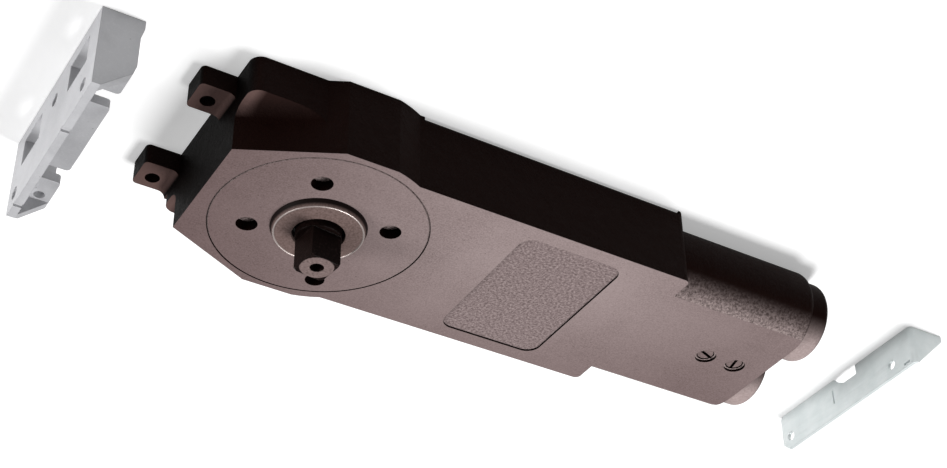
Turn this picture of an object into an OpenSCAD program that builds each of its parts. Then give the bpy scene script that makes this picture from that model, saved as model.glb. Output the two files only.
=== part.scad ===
// Concealed overhead door closer, with its main clip and end clip.
// The closer lies on its flat back at z = 0, with the spindle pointing up.
// The spindle axis is the Z axis, and the two spring tubes run along +X.

/* [Casing] */
// Height of the casing from its back to its face
body_h = 35.5; // [35:0.5:40]
// Radius of the round cap over the cam chamber
cap_r = 43.4; // [42:0.2:46]
// Iron left beside the cap at the widest place
cap_wall = 2.6; // [2:0.2:5]
// Iron left between the cap and the swelling behind it
barrel_wall = 3.8; // [3:0.2:6]
// Iron left between the cap and the left end
left_wall = 6; // [5:0.5:12]
// Iron left between the cap and each slanted corner
chamfer_wall = 2.9; // [2.4:0.1:4]
// Slant of the two corners, in degrees
chamfer_angle = 26; // [22:1:32]
// Distance from the spindle axis to the step before the tail
step_x = 147.5; // [130:0.5:170]
// Length of the tail behind the step
tail_len = 68.5; // [60:0.5:80]
// Set-in of the tail tubes from the long sides
side_step = 1; // [0.5:0.1:3]
// Rounding of the four upright corners at the step
step_round = 2.5; // [1:0.5:4]
// Height of the ledge below the slanted corners
ledge_h = 16.6; // [12:0.2:22]
// Sweep between the ledge and the slanted wall
ledge_fillet = 6; // [3:0.5:7]
// Rounding of the long edges round the back
back_round = 2.5; // [1:0.5:4]

/* [Bores and plugs] */
// Radius of the two piston bores
bore_r = 14.5; // [13:0.1:15]
// Half the iron between the two bores
web_half = 6.4; // [6:0.1:8]
// Iron round each bore in the tail
tube_wall = 5.6; // [5:0.1:7]
// Length of an end plug's head
plug_head = 10; // [8:0.5:14]
// Length of an end plug inside its bore
plug_spigot = 16; // [12:0.5:20]
// Rounding of the plug head's rim
plug_round = 3; // [1:0.5:4]
// Size across the flats of the socket in a plug head
plug_socket = 10; // [6:1:14]

/* [Lugs] */
// Reach of the two lugs from the left end
lug_reach = 14.3; // [12:0.1:20]
// Width of a lug
lug_w = 15; // [13:0.5:18]
// Thickness of a lug
lug_t = 9; // [7:0.5:12]
// Distance between the lugs, middle to middle
lug_pitch = 53.6; // [50:0.2:56]
// Shift of the pair of lugs from the spindle axis
lug_shift = -7.1; // [-9:0.1:-5]
// Radius of the hole through a lug
lug_hole_r = 3; // [2.2:0.1:3.5]
// Rounding of a lug's upright corners
lug_round = 2; // [1:0.5:4]

/* [Cap and collar] */
// Thickness of the cap
cap_t = 7; // [6:0.5:8]
// Radius of the circle of the four spanner holes
spanner_circle_r = 27.9; // [26:0.1:32]
// Radius of a spanner hole
spanner_hole_r = 4.3; // [3:0.1:5]
// Depth of a spanner hole
spanner_depth = 4.5; // [3:0.5:5]
// Turn of the spanner holes from the X axis
spanner_turn = 24; // [0:1:90]
// Outer radius of the seal collar
collar_r = 18.8; // [17:0.1:20]
// Height of the seal collar above the face
collar_h = 2.5; // [1.5:0.1:4]

/* [Spindle] */
// Radius of the spindle
spindle_r = 9.1; // [8.5:0.1:9.5]
// Height of the spindle's tip above the face
spindle_rise = 19; // [15:0.5:26]
// Length of the squared end
square_len = 13.5; // [10:0.5:14]
// Size across the flats of the squared end
square_af = 13; // [12.4:0.1:14]
// Turn of the squared end when the door is shut
square_turn = -7; // [-45:1:45]
// Radius of the tapped hole in the tip
tip_hole_r = 2.8; // [2:0.1:3.3]
// Depth of the tapped hole in the tip
tip_hole_depth = 12; // [8:1:14]

/* [Cam and follower] */
// Lift of the heart cam for each radian of turn
cam_rise = 9; // [7:0.1:9.4]
// Largest turn of the spindle from the shut door
turn_max = 105; // [90:1:110]
// Thickness of the cam
cam_t = 9; // [8:0.2:10]
// Iron between the spindle and the cam's waist
cam_waist = 2.9; // [2.5:0.1:4]
// Radius of the roller
roller_r = 6; // [5:0.1:6.5]
// Radius of the roller's pin
roller_pin_r = 2.6; // [2:0.1:3]
// Thickness of the yoke's arms
arm_t = 3.6; // [3:0.1:4]
// Half the width of the yoke's crosshead
crosshead_half = 33; // [30:0.5:33.5]
// Length of a piston
piston_len = 32; // [26:0.5:40]
// Radius of the spring wire
wire_r = 1.8; // [1.4:0.1:2.1]
// Full turns of a spring
spring_turns = 13; // [9:1:16]

/* [Valves] */
// Distance from the tail's end to the latch valve
latch_from_end = 14.6; // [12:0.2:18]
// Distance between the two valves
valve_pitch = 15.4; // [14:0.2:18]
// Radius of a valve's head
valve_r = 3.8; // [3:0.1:4]
// Radius of the dish round a valve
valve_dish_r = 4.6; // [4.4:0.1:5.2]
// Width of the screwdriver slot
valve_slot = 1.2; // [0.8:0.1:1.6]

/* [Bare recess] */
// Distance from the spindle axis to the middle of the recess
recess_x = 96.5; // [88:0.5:105]
// Size of the recess along the casing
recess_len = 46.5; // [30:0.5:55]
// Size of the recess across the casing
recess_w = 70; // [40:0.5:74]
// Depth of the recess
recess_depth = 0.8; // [0.4:0.1:1.2]
// Rounding of the recess's corners
recess_round = 6; // [2:0.5:12]

/* [Main clip] */
// Gap between the left end and the clip's back plate when laid out
clip_away = 58.4; // [45:0.1:80]
// Length of the clip
clip_len = 90.4; // [88:0.2:94]
// Height of the clip
clip_h = 36.3; // [34:0.1:38]
// Thickness of the clip's lower back wall
clip_wall = 5.5; // [4:0.1:7]
// Thickness of the clip's back wall at its top edge
clip_lip = 3.4; // [2.4:0.1:4]
// Thickness of the clip's end plates and shelf
clip_t = 4; // [3:0.1:5]
// Depth of the clip's end plates at their feet
clip_depth = 16.8; // [15.5:0.1:20]
// Height of the shelf's upper face
shelf_z = 26.4; // [24:0.1:28]
// Depth of the shelf from the clip's back
shelf_depth = 14.5; // [13.5:0.1:15]
// Width of a lug window
window_w = 19.5; // [18:0.1:21]
// Height of a lug window
window_h = 12.6; // [10:0.1:13]
// Height of the windows' lower edge
window_z = 5.7; // [4:0.1:7]
// Distance between the windows, middle to middle
window_pitch = 49.6; // [46:0.1:52]
// Width of a screwdriver notch in the shelf
notch_w = 8.5; // [7:0.1:10]
// Distance between the notches
notch_pitch = 50.9; // [46:0.1:54]
// Shift of the pair of notches from the clip's middle
notch_shift = 2.4; // [0:0.1:4]
// Radius of the screw holes in the back plate
clip_hole_r = 2.7; // [2:0.1:3]

/* [End clip] */
// Gap between the plug heads and the end clip when laid out
end_away = 61; // [45:0.5:90]
// Sideways place of the end clip when laid out
end_shift = -23; // [-30:0.5:0]
// Length of the end clip
end_len = 94; // [88:0.2:95]
// Height of the end clip
end_h = 19; // [17:0.1:22]
// Thickness of the sheet
sheet_t = 1.6; // [1.2:0.1:2.4]
// Reach of the gusset tab
tab_reach = 19; // [15:0.1:24]
// Width of the relief notch
relief_w = 17.6; // [14:0.1:22]
// Depth of the relief notch
relief_depth = 5; // [3:0.1:6]
// Radius of the end clip's screw holes
end_hole_r = 2.2; // [1.8:0.1:3]
// Distance between the end clip's screw holes
end_hole_pitch = 73; // [64:0.5:76]
// Height of the end clip's screw holes above its foot
end_hole_z = 13; // [11:0.5:13.5]

/* [Fits] */
// Running clearance round a shaft or piston
run_fit = 0.05; // [0.02:0.01:0.08]
// Gap between the cam and the roller
cam_gap = 0.3; // [0.2:0.05:0.5]
// Gap between still pieces that sit together
sit_gap = 0.05; // [0.03:0.01:0.1]

/* [Hidden] */
$fn = 64;
bite = 1;
degree = 180 / PI;
iron = "#82706e";
bright = "#c9ccd0";
steel = "#9aa0a6";
black_rubber = "#2a2a2c";
zinc = "#ced4d1";

mid_z = body_h / 2;
left_len = cap_r + left_wall;
full_half = cap_r + cap_wall;
barrel_r = cap_r + barrel_wall;
chamfer_d = cap_r + chamfer_wall;
left_half = (chamfer_d - left_len * sin(chamfer_angle)) / cos(chamfer_angle);
chamfer_x = (full_half * cos(chamfer_angle) - chamfer_d) / sin(chamfer_angle);
chamfer_len = norm([left_len + chamfer_x, full_half - left_half]);
tube_y = bore_r + web_half;
tube_r = bore_r + tube_wall;
long_half = tube_y + tube_r + side_step;
end_x = step_x + tail_len;
ledge_half = long_half + 0.5;
ledge_round = 5;
back_bulge_r = full_half - 0.4;

floor_t = 3;
bearing_h = 5;
bearing_r = spindle_r + 3.9;
chamber_floor = floor_t + bearing_h + 0.3;
chamber_r = cap_r - 6.9;
cap_z = body_h - cap_t;
cap_boss_h = 1.5;
cap_boss_r = bearing_r + 3;
thread_gap = 0.12;

pitch_0 = spindle_r + cam_waist + roller_r;
cam_span = turn_max + 13;
lobe_r = pitch_0 + cam_rise * cam_span / degree - roller_r - cam_gap;
stroke = cam_rise * turn_max / degree;
crosshead_x = lobe_r + 2.8;
bore_x = max(cap_r + 1.5, crosshead_x + 8);
arm_gap = 0.4;
yoke_h = cam_t + 2 * (arm_gap + arm_t);
room_gap = 0.5;
room_half = tube_y + bore_r - 0.4;
key_w = 4;
key_h = 3.6;
key_sink = 1.8;

piston_x = bore_x + 0.1;
piston_r = bore_r - run_fit;
piston_back = piston_x + piston_len;
seal_wire_r = 1.1;
seal_from_back = 8;
ball_r = 2.4;
plug_x = end_x - plug_spigot;
plug_r = mid_z - 0.25;
spring_r = piston_r - wire_r - 0.8;
valve_latch_x = end_x - latch_from_end;
valve_sweep_x = valve_latch_x - valve_pitch;
valve_top = body_h - 0.9;
valve_dish = 1.1;
port_r = 1.5;
port_z = 12;
needle_r = 2;
neck_z = port_z + 5;
fill_x = 110;
fill_r = 4.9;
fill_sink = 1.2;
fill_len = 7.5;

clip_x = -left_len - clip_away;
clip_slot_y = 3;
end_x0 = end_x + plug_head + end_away;
bend_r = 2.4;

// A cylinder along +X that starts at x
module rod_x(x, len, r) {
    translate([x, 0, 0]) rotate([0, 90, 0]) cylinder(r = r, h = len);
}

// A solid turned about the X axis from a profile of length and radius
module turned_x() {
    rotate([0, 90, 0]) rotate([0, 0, 180]) rotate_extrude() rotate([0, 0, 90]) mirror([0, 1]) children();
}

// Both bores or tubes, side by side
module on_both_bores() {
    for (side = [-1, 1]) translate([0, side * tube_y, mid_z]) children();
}

// A rectangle with round corners, made of exact arcs
module round_rect(w, h, r) {
    square([w - 2 * r, h], center = true);
    square([w, h - 2 * r], center = true);
    for (x = [-1, 1], y = [-1, 1]) translate([x * (w / 2 - r), y * (h / 2 - r)]) circle(r);
}

// A ring round the Z axis
module ring_z(z, h, r_in, r_out) {
    translate([0, 0, z]) difference() {
        cylinder(r = r_out, h = h);
        translate([0, 0, -bite]) cylinder(r = r_in, h = h + 2 * bite);
    }
}

// A rubber ring of round section about the Z axis
module o_ring(z, r, wire) {
    translate([0, 0, z]) rotate_extrude() translate([r, 0]) circle(wire, $fn = 24);
}

// Outline of the casing's face, as far as the step
module face_outline() {
    polygon([[-left_len, -left_half], [chamfer_x, -full_half], [0, -full_half],
        [0, full_half], [chamfer_x, full_half], [-left_len, left_half]]);
    intersection() {
        circle(barrel_r, $fn = 128);
        translate([0, -full_half]) square([barrel_r, 2 * full_half]);
    }
    translate([0, -long_half]) square([step_x - step_round, 2 * long_half]);
    translate([0, step_round - long_half]) square([step_x, 2 * (long_half - step_round)]);
    for (y = [-1, 1]) translate([step_x - step_round, y * (long_half - step_round)]) circle(step_round);
}

// Outline of the casing near its back, at the cap end
module ledge_outline() {
    w = left_len + barrel_r / 2;
    translate([w / 2 - left_len, 0]) round_rect(w, 2 * ledge_half, ledge_round);
    circle(back_bulge_r, $fn = 128);
}

// The sweep from the ledge up into one slanted wall
module ledge_sweep() {
    intersection() {
        linear_extrude(body_h) ledge_outline();
        for (side = [0, 1]) mirror([0, side, 0])
            translate([-left_len, left_half, ledge_h]) rotate([0, 0, chamfer_angle])
            translate([-ledge_half, 0, 0]) rotate([90, 0, 90]) linear_extrude(chamfer_len + 2 * ledge_half)
            difference() {
                translate([-bite, -bite]) square(ledge_fillet + bite);
                translate([ledge_fillet, ledge_fillet]) circle(ledge_fillet);
            }
    }
}

// The tail: two tubes with a flat face and a flat back, joined by a web
module tail() {
    intersection() {
        on_both_bores() turned_x() difference() {
            translate([step_x - bite, 0]) square([tail_len + bite, tube_r]);
            translate([end_x - plug_round, tube_r - plug_round]) difference() {
                square(plug_round + bite);
                circle(plug_round);
            }
        }
        translate([step_x - bite, -tube_y - tube_r, 0]) cube([tail_len + bite, 2 * (tube_y + tube_r), body_h]);
    }
    translate([step_x - bite, -tube_y, 0]) cube([tail_len + bite, 2 * tube_y, body_h]);
}

// One lug with its root sweep, centred on Y
module lug() {
    root = 3;
    difference() {
        union() {
            linear_extrude(lug_t) {
                translate([-lug_reach + lug_round, -lug_w / 2]) square([lug_reach, lug_w]);
                translate([-lug_reach, lug_round - lug_w / 2]) square([lug_reach, lug_w - 2 * lug_round]);
                for (y = [-1, 1]) translate([lug_round - lug_reach, y * (lug_w / 2 - lug_round)]) circle(lug_round);
            }
            translate([0, lug_w / 2, lug_t]) rotate([90, 0, 0]) linear_extrude(lug_w) difference() {
                translate([-root, -bite]) square([root + bite, root + bite]);
                translate([-root, root]) circle(root);
            }
        }
        translate([lug_hole_x, lug_hole_y, -bite]) cylinder(r = lug_hole_r, h = lug_t + 2 * bite);
    }
}
lug_hole_x = -7.9;
lug_hole_y = -1.2;

// Cast iron body that holds the mechanism and the oil
module casing() {
    color(iron) difference() {
        union() {
            linear_extrude(body_h) face_outline();
            linear_extrude(ledge_h) ledge_outline();
            ledge_sweep();
            tail();
            for (side = [-1, 1]) translate([-left_len, lug_shift + side * lug_pitch / 2, 0]) lug();
        }
        // seat of the cap, chamber under it and seat of the lower bearing
        translate([0, 0, cap_z]) cylinder(r = cap_r + thread_gap, h = cap_t + bite, $fn = 128);
        translate([0, 0, chamber_floor]) cylinder(r = chamber_r, h = body_h, $fn = 128);
        translate([0, 0, floor_t]) cylinder(r = bearing_r + sit_gap, h = body_h);
        // room for the yoke, the two bores and the oil way between them
        translate([0, -room_half, mid_z - yoke_h / 2 - room_gap])
            cube([bore_x + stroke + room_gap, 2 * room_half, yoke_h + 2 * room_gap]);
        on_both_bores() rod_x(bore_x, end_x, bore_r);
        translate([0, 0, port_z]) rod_x(bore_x, valve_latch_x - bore_x, port_r);
        // valve holes with their dishes and cross ports
        for (x = [valve_sweep_x, valve_latch_x]) translate([x, 0, 0]) {
            translate([0, 0, body_h - valve_dish]) cylinder(r = valve_dish_r, h = valve_dish + bite);
            translate([0, 0, neck_z]) cylinder(r = valve_r + run_fit, h = body_h);
            translate([0, 0, port_z - port_r]) cylinder(r = needle_r + run_fit, h = body_h);
            translate([0, tube_y / 2, port_z]) rotate([90, 0, 0]) cylinder(r = port_r, h = tube_y);
        }
        // filling hole in the back
        translate([fill_x, 0, -bite]) cylinder(r = fill_r + sit_gap, h = port_z + bite);
        translate([fill_x, 0, -bite]) cylinder(r = fill_r + 1.6, h = fill_sink + 1 + bite);
        // bare recess in the face
        translate([recess_x, 0, body_h - recess_depth]) linear_extrude(recess_depth + bite)
            round_rect(recess_len, recess_w, recess_round);
        // rounded long edges round the back
        for (side = [0, 1]) mirror([0, side, 0]) translate([barrel_r / 2, long_half, 0])
            rotate([90, 0, 90]) linear_extrude(step_x - barrel_r / 2 - step_round) difference() {
                translate([-back_round, -bite]) square([back_round + bite, back_round + bite]);
                translate([-back_round, back_round]) circle(back_round);
            }
    }
}

// Screwed cap with its spanner holes and bearing boss
module cap() {
    edge = 0.5;
    ring_r = cap_r - 1;
    color(iron) difference() {
        union() {
            rotate_extrude($fn = 128) polygon([[0, cap_z + sit_gap], [cap_r - edge, cap_z + sit_gap],
                [cap_r, cap_z + edge], [cap_r, body_h - edge], [cap_r - edge, body_h], [0, body_h]]);
            translate([0, 0, cap_z - cap_boss_h]) cylinder(r = cap_boss_r, h = cap_boss_h + bite);
        }
        translate([0, 0, cap_z - cap_boss_h - bite]) cylinder(r = bearing_r + sit_gap, h = body_h);
        translate([0, 0, body_h - collar_seat]) cylinder(r = collar_r + sit_gap, h = bite);
        for (i = [0:3]) rotate([0, 0, spanner_turn + 90 * i])
            translate([spanner_circle_r, 0, body_h - spanner_depth]) cylinder(r = spanner_hole_r, h = cap_t);
        ring_z(cap_z + 1.4, 2.4, cap_r - 2.3, cap_r + bite);
    }
}
collar_seat = 0.6;

// Rubber ring round the cap
module cap_o_ring() {
    color(black_rubber) o_ring(cap_z + 2.6, cap_r - 1.1, 1.1);
}

// Dished steel collar that holds the spindle seal
module seal_collar() {
    foot = body_h - collar_seat + sit_gap;
    top = body_h + collar_h;
    hole_r = spindle_r + 1.2;
    color(iron) rotate_extrude() polygon([[hole_r, foot], [collar_r, foot], [collar_r, top - 0.4],
        [collar_r - 0.4, top], [collar_r - 1.2, top], [collar_r - 2.4, top - 0.9],
        [hole_r + 0.6, top - 1.3], [hole_r, top - 1.9]]);
}

// Rubber lip seal round the spindle
module spindle_seal() {
    z = cap_z - cap_boss_h + bearing_h + 0.2;
    color(black_rubber) rotate_extrude() polygon([[spindle_r + run_fit, z], [bearing_r, z],
        [bearing_r, body_h - collar_seat - 0.1], [spindle_r + 1.6, body_h - collar_seat - 0.1],
        [spindle_r + 1.2, z + 1.2], [spindle_r + run_fit, z + 1.6]]);
}

// Needle bearing in the cap
module upper_bearing() {
    color(steel) ring_z(cap_z - cap_boss_h, bearing_h, spindle_r + run_fit, bearing_r);
}

// Needle bearing in the floor of the casing
module lower_bearing() {
    color(steel) ring_z(floor_t, bearing_h, spindle_r + run_fit, bearing_r);
}

// Spindle, round below and squared at its tip
module spindle() {
    tip = body_h + spindle_rise;
    shoulder = tip - square_len;
    foot = floor_t + 0.1;
    edge = 0.8;
    color(steel) difference() {
        rotate_extrude() polygon([[0, foot], [spindle_r - edge, foot], [spindle_r, foot + edge],
            [spindle_r, tip - edge], [spindle_r - edge, tip], [0, tip]]);
        rotate([0, 0, square_turn]) for (i = [0:3]) rotate([0, 0, 90 * i])
            translate([square_af / 2, -spindle_r, shoulder]) cube([spindle_r, 2 * spindle_r, square_len + bite]);
        translate([0, 0, tip - tip_hole_depth]) cylinder(r = tip_hole_r, h = tip_hole_depth + bite);
        translate([-spindle_r - bite, -key_w / 2, mid_z - cam_t / 2 + 0.2])
            cube([key_sink + bite, key_w, cam_t - 0.4]);
    }
}

// Point of the cam's edge where the roller bears at an angle, in degrees
function cam_edge(a) = let (
        pitch = pitch_0 + cam_rise * a / degree,
        slope = norm([pitch, cam_rise]),
        reach = roller_r + cam_gap,
        out = pitch - reach * pitch / slope,
        along = reach * cam_rise / slope
    ) [out * cos(a) - along * sin(a), out * sin(a) + along * cos(a)];

// Heart cam: the roller lies in its cleft when the door is shut
module cam() {
    steps = 24;
    flank = [for (i = [0:steps]) cam_edge(cam_span * i / steps)];
    far = flank[steps];
    far_r = norm(far);
    far_a = atan2(far[1], far[0]);
    lobe = [for (i = [1:11]) let (a = far_a + (360 - 2 * far_a) * i / 12) far_r * [cos(a), sin(a)]];
    back = [for (i = [0:steps]) let (p = flank[steps - i]) [p[0], -p[1]]];
    color(steel) translate([0, 0, mid_z - cam_t / 2]) difference() {
        linear_extrude(cam_t) difference() {
            polygon(concat(flank, lobe, back));
            translate([pitch_0, 0]) circle(roller_r + cam_gap);
            circle(spindle_r + 0.02);
        }
        translate([-spindle_r - key_h + key_sink, -key_w / 2, -bite])
            cube([key_h, key_w, cam_t + 2 * bite]);
        // lightening holes in the lobe, as in the forged cam
        for (side = [-1, 1]) rotate([0, 0, 180 + side * 50]) translate([(spindle_r + far_r) / 2, 0, -bite])
            cylinder(r = 4, h = cam_t + 2 * bite);
    }
}

// Key that locks the cam to the spindle
module cam_key() {
    gap = 0.02;
    color(steel) translate([-spindle_r - key_h + key_sink + gap, gap - key_w / 2, mid_z - cam_t / 2 + 0.3])
        cube([key_h - 2 * gap, key_w - 2 * gap, cam_t - 0.6]);
}

// Yoke: a fork over the cam that carries the roller, and a crosshead
module yoke() {
    bar_t = bore_x + 0.1 - crosshead_x;
    fork_half = roller_r + 1;
    color(steel) difference() {
        translate([0, 0, mid_z - yoke_h / 2]) linear_extrude(yoke_h) {
            translate([crosshead_x + bar_t / 2, 0]) round_rect(bar_t, 2 * crosshead_half, 2);
            translate([pitch_0, -fork_half]) square([crosshead_x + 2 - pitch_0, 2 * fork_half]);
            translate([pitch_0, 0]) intersection() {
                circle(fork_half);
                translate([-roller_r, -fork_half]) square([roller_r, 2 * fork_half]);
            }
        }
        translate([-bite, -fork_half - bite, mid_z - cam_t / 2 - arm_gap])
            cube([crosshead_x + bite, 2 * (fork_half + bite), cam_t + 2 * arm_gap]);
        translate([pitch_0, 0, 0]) cylinder(r = roller_pin_r + 0.01, h = body_h);
        // oil holes through the crosshead
        for (side = [-1, 1]) translate([0, side * (fork_half + 4.5), mid_z]) rod_x(crosshead_x - bite, bar_t + 2 * bite, 2);
    }
}

// Pin of the roller
module roller_pin() {
    color(bright) translate([pitch_0, 0, mid_z - yoke_h / 2 + 0.1])
        cylinder(r = roller_pin_r, h = yoke_h - 0.2);
}

// Roller that follows the heart cam
module cam_roller() {
    edge = 0.5;
    color(bright) translate([pitch_0, 0, mid_z - cam_t / 2]) rotate_extrude() polygon([
        [roller_pin_r + run_fit, 0], [roller_r - edge, 0], [roller_r, edge],
        [roller_r, cam_t - edge], [roller_r - edge, cam_t], [roller_pin_r + run_fit, cam_t]]);
}

// One piston with its seal groove, check valve and hollow back
module piston() {
    edge = 0.8;
    groove = piston_back - seal_from_back;
    color(steel) difference() {
        turned_x() polygon([[piston_x, 0], [piston_x, piston_r - edge], [piston_x + edge, piston_r],
            [groove - 1.3, piston_r], [groove - 1.3, piston_r - 2.3], [groove + 1.3, piston_r - 2.3],
            [groove + 1.3, piston_r], [piston_back - edge, piston_r], [piston_back, piston_r - edge],
            [piston_back, 0]]);
        rod_x(piston_x - bite, piston_len, 1.6);
        rod_x(piston_x + 8, piston_len, ball_r + 0.1);
        rod_x(piston_x + 16, piston_len, 7);
    }
}

// Piston on the +Y side
module piston_a() {
    translate([0, tube_y, mid_z]) piston();
}

// Piston on the -Y side
module piston_b() {
    translate([0, -tube_y, mid_z]) piston();
}

// Rubber seals of both pistons
module piston_seals() {
    color(black_rubber) on_both_bores() translate([piston_back - seal_from_back, 0, 0]) rotate([0, 90, 0])
        o_ring(0, piston_r - seal_wire_r - 0.05, seal_wire_r);
}

// Check balls of both pistons
module check_balls() {
    color(bright) on_both_bores() translate([piston_x + 8 + ball_r + 0.1, 0, 0]) sphere(ball_r);
}

// A compression spring along X, swept round a helix
module spring(x0, x1) {
    sides = 6;
    segments = 14;
    count = spring_turns * segments;
    travel = x1 - x0 - 2 * wire_r;
    pitch_angle = atan(travel / (spring_turns * 2 * PI * spring_r));
    points = [for (i = [0:count]) let (a = 360 * i / segments, x = x0 + wire_r + travel * i / count)
        for (j = [0:sides - 1]) let (
            b = 360 * j / sides,
            out = spring_r + wire_r * cos(b),
            up = wire_r * sin(b)
        ) [x + up * cos(pitch_angle), out * cos(a) + up * sin(pitch_angle) * sin(a),
            out * sin(a) - up * sin(pitch_angle) * cos(a)]];
    walls = [for (i = [0:count - 1], j = [0:sides - 1])
        [i * sides + j, i * sides + (j + 1) % sides, (i + 1) * sides + (j + 1) % sides, (i + 1) * sides + j]];
    first = [for (j = [0:sides - 1]) sides - 1 - j];
    last = [for (j = [0:sides - 1]) count * sides + j];
    polyhedron(points, concat(walls, [first, last]), convexity = 8);
}

// Spring on the +Y side
module spring_a() {
    color(bright) translate([0, tube_y, mid_z]) spring(piston_back + 0.2, plug_x - 0.2);
}

// Spring on the -Y side
module spring_b() {
    color(bright) translate([0, -tube_y, mid_z]) spring(piston_back + 0.2, plug_x - 0.2);
}

// End plug with its rounded head and hexagon socket
module end_plug() {
    groove = plug_x + 5;
    spigot_r = bore_r - sit_gap;
    socket_r = plug_socket / 2 / cos(30);
    head_end = end_x + plug_head;
    color(iron) difference() {
        union() {
            turned_x() polygon([[plug_x, 0], [plug_x, spigot_r - 1], [plug_x + 1, spigot_r],
                [groove - 1.3, spigot_r], [groove - 1.3, spigot_r - 2.3], [groove + 1.3, spigot_r - 2.3],
                [groove + 1.3, spigot_r], [end_x + sit_gap, spigot_r], [end_x + sit_gap, plug_r],
                [head_end - plug_round, plug_r], [head_end - plug_round, 0]]);
            turned_x() {
                translate([head_end - plug_round - bite, 0]) square([plug_round + bite, plug_r - plug_round]);
                translate([head_end - plug_round, plug_r - plug_round]) intersection() {
                    circle(plug_round);
                    square(plug_round);
                }
            }
        }
        translate([head_end - 5, 0, 0]) rotate([0, 90, 0]) cylinder(r = socket_r, h = 5 + bite, $fn = 6);
    }
}

// End plug on the +Y side
module end_plug_a() {
    translate([0, tube_y, mid_z]) end_plug();
}

// End plug on the -Y side
module end_plug_b() {
    translate([0, -tube_y, mid_z]) end_plug();
}

// Rubber rings of both end plugs
module plug_o_rings() {
    color(black_rubber) on_both_bores() translate([plug_x + 5, 0, 0]) rotate([0, 90, 0])
        o_ring(0, bore_r - sit_gap - seal_wire_r - 0.05, seal_wire_r);
}

// One regulating valve: slotted head, ring groove and needle
module valve(slot_turn) {
    groove = valve_top - 6;
    color(steel) difference() {
        rotate_extrude() polygon([[0, port_z - 1], [needle_r * 0.4, port_z - 1], [needle_r, port_z + 2],
            [needle_r, neck_z + 0.4], [valve_r - 0.4, neck_z + 0.4], [valve_r, neck_z + 0.8],
            [valve_r, groove - 1.1], [valve_r - 1.6, groove - 1.1], [valve_r - 1.6, groove + 1.1],
            [valve_r, groove + 1.1], [valve_r, valve_top - 0.4], [valve_r - 0.4, valve_top], [0, valve_top]]);
        rotate([0, 0, slot_turn]) translate([-valve_r - bite, -valve_slot / 2, valve_top - 1.8])
            cube([2 * (valve_r + bite), valve_slot, 2 * bite + 1]);
    }
}

// Valve for the sweep of the door
module sweep_valve() {
    translate([valve_sweep_x, 0, 0]) valve(-21);
}

// Valve for the last few degrees, before the latch
module latch_valve() {
    translate([valve_latch_x, 0, 0]) valve(-78);
}

// Rubber ring of the sweep valve
module sweep_valve_ring() {
    color(black_rubber) translate([valve_sweep_x, 0, 0]) o_ring(valve_top - 6, valve_r - 0.8, 0.75);
}

// Rubber ring of the latch valve
module latch_valve_ring() {
    color(black_rubber) translate([valve_latch_x, 0, 0]) o_ring(valve_top - 6, valve_r - 0.8, 0.75);
}

// Oil filling plug, sunk in the back
module fill_plug() {
    head = fill_r + 1.4;
    color(steel) translate([fill_x, 0, 0]) difference() {
        union() {
            translate([0, 0, 0.2]) cylinder(r = head, h = fill_sink);
            translate([0, 0, fill_sink]) cylinder(r = fill_r, h = fill_len);
        }
        translate([0, 0, -bite]) cylinder(r = 2.9, h = bite + 4, $fn = 6);
    }
}

// Soft washer under the filling plug
module fill_washer() {
    color("#b87333") translate([fill_x, 0, 0])
        ring_z(fill_sink + 0.25, 0.7, fill_r + 0.03, fill_r + 1.4);
}

// Side view of the main clip's end plates, in depth and height
module clip_end_outline() {
    toe = 3.8;
    waist = clip_depth - 1.2;
    polygon([[0, 0], [clip_depth, 0], [clip_depth, toe], [waist, toe + 5], [waist, shelf_z - 4],
        [shelf_depth, shelf_z], [clip_lip, clip_h], [0, clip_h]]);
}

// Main clip that hooks over the lugs
module main_clip() {
    color(bright) translate([clip_x, lug_shift, 0]) difference() {
        union() {
            // back wall, thinner along its top
            translate([0, clip_len / 2, 0]) rotate([90, 0, 0]) linear_extrude(clip_len) polygon([[0, 0],
                [clip_wall, 0], [clip_wall, shelf_z - clip_t], [clip_lip, shelf_z + 1],
                [clip_lip, clip_h], [0, clip_h]]);
            for (side = [0, 1]) mirror([0, side, 0]) translate([0, clip_len / 2, 0]) rotate([90, 0, 0])
                linear_extrude(clip_t) clip_end_outline();
            // shelf with a round front corner beside each notch
            translate([bite, -clip_len / 2 + bite, shelf_z - clip_t])
                cube([shelf_depth - bite, clip_len - 2 * bite, clip_t]);
        }
        for (side = [-1, 1]) translate([-bite, side * window_pitch / 2 - window_w / 2, window_z])
            cube([clip_wall + 2 * bite, window_w, window_h]);
        for (side = [-1, 1]) translate([clip_wall + 1, notch_shift + side * notch_pitch / 2 - notch_w / 2, shelf_z - 2 * clip_t])
            cube([shelf_depth, notch_w, 3 * clip_t]);
        for (p = clip_holes) translate([-bite, p[0], p[1]]) rod_x(0, clip_wall + 2 * bite, clip_hole_r);
        translate([clip_wall + 4.1, -clip_len / 2 + 7.1, shelf_z - clip_t - bite]) cylinder(r = 2.2, h = clip_t + 2 * bite);
        // two witness notches in the top edge
        for (y = [clip_slot_y, -clip_len / 2 + 5]) translate([-bite, y, clip_h - 1])
            cube([clip_lip + 2 * bite, 2.4, 1 + bite]);
    }
}
clip_holes = [[34.5, 29.4], [-0.4, 10.5], [-37.8, 28.4]];

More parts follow.
